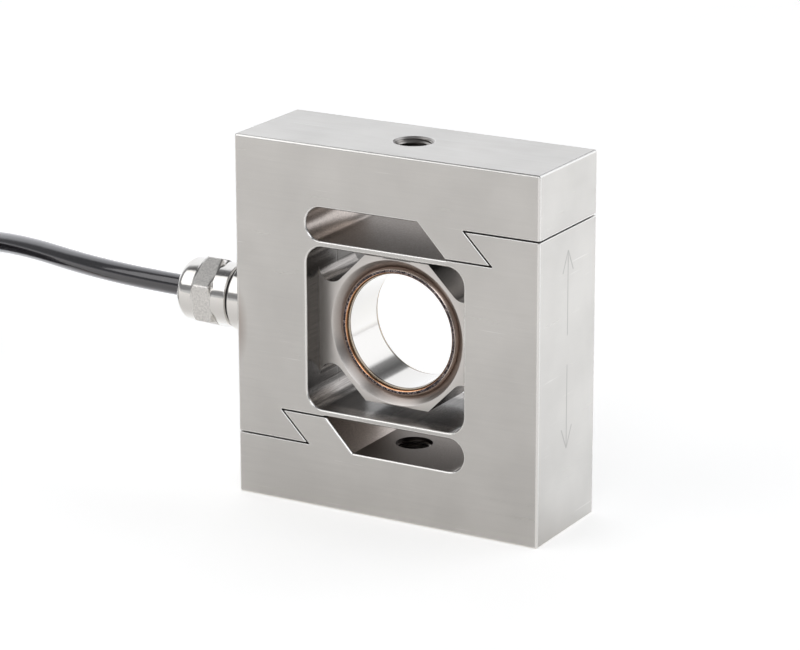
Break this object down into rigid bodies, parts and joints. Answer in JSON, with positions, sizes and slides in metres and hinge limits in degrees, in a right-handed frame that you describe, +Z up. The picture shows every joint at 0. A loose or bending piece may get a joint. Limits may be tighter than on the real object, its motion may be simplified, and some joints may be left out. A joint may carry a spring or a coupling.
{
  "type": "s-type load cell",
  "caption": "S-shaped steel block for weighing in tension or compression, with tapped ends, a sealed gauge bore, hooked overload slits and a side cable gland with a coiled lead.",
  "frame": {"origin": "centre of the block's bottom face", "axes": "X across the front with the gland at -X, +Y from the front face to the back, +Z up along the line of the load"},
  "size_m": [0.3093, 0.0507, 0.08],
  "materials": {
    "ground_stainless": "ground, satin",
    "polished_stainless": "polished",
    "weld_metal": "as welded, dark",
    "polyimide_film": "satin",
    "gauge_film": "satin",
    "chip_ceramic": "matte",
    "gland_steel": "polished",
    "ring_rubber": "matte",
    "grommet_rubber": "matte",
    "washer_nylon": "satin",
    "cable_jacket": "glossy",
    "shrink_tube": "satin",
    "core_red": "satin",
    "core_black": "satin",
    "core_green": "satin",
    "core_white": "satin",
    "tinned_copper": "tinned, satin"
  },
  "bodies": {
    "root": {"s_body": "ground_stainless", "sealing_sleeve": "polished_stainless", "front_weld_bead": "weld_metal", "rear_weld_bead": "weld_metal", "flex_board": "polyimide_film", "trim_chip_upper": "chip_ceramic", "trim_chip_lower": "chip_ceramic", "strain_gauge_1": "gauge_film", "strain_gauge_2": "gauge_film", "strain_gauge_3": "gauge_film", "strain_gauge_4": "gauge_film", "inner_lead_red": "core_red", "inner_lead_black": "core_black", "inner_lead_green": "core_green", "inner_lead_white": "core_white", "gland_body": "gland_steel", "gland_o_ring": "ring_rubber", "gland_grommet": "grommet_rubber", "gland_washer": "washer_nylon", "gland_nut": "gland_steel", "cable_run": "cable_jacket", "cable_coil": "cable_jacket", "cable_tail": "cable_jacket", "cable_end_sleeve": "shrink_tube", "core_red": "core_red", "core_black": "core_black", "core_green": "core_green", "core_white": "core_white", "core_tips": "tinned_copper", "shield_wire": "tinned_copper"}
  },
  "joints": []
}
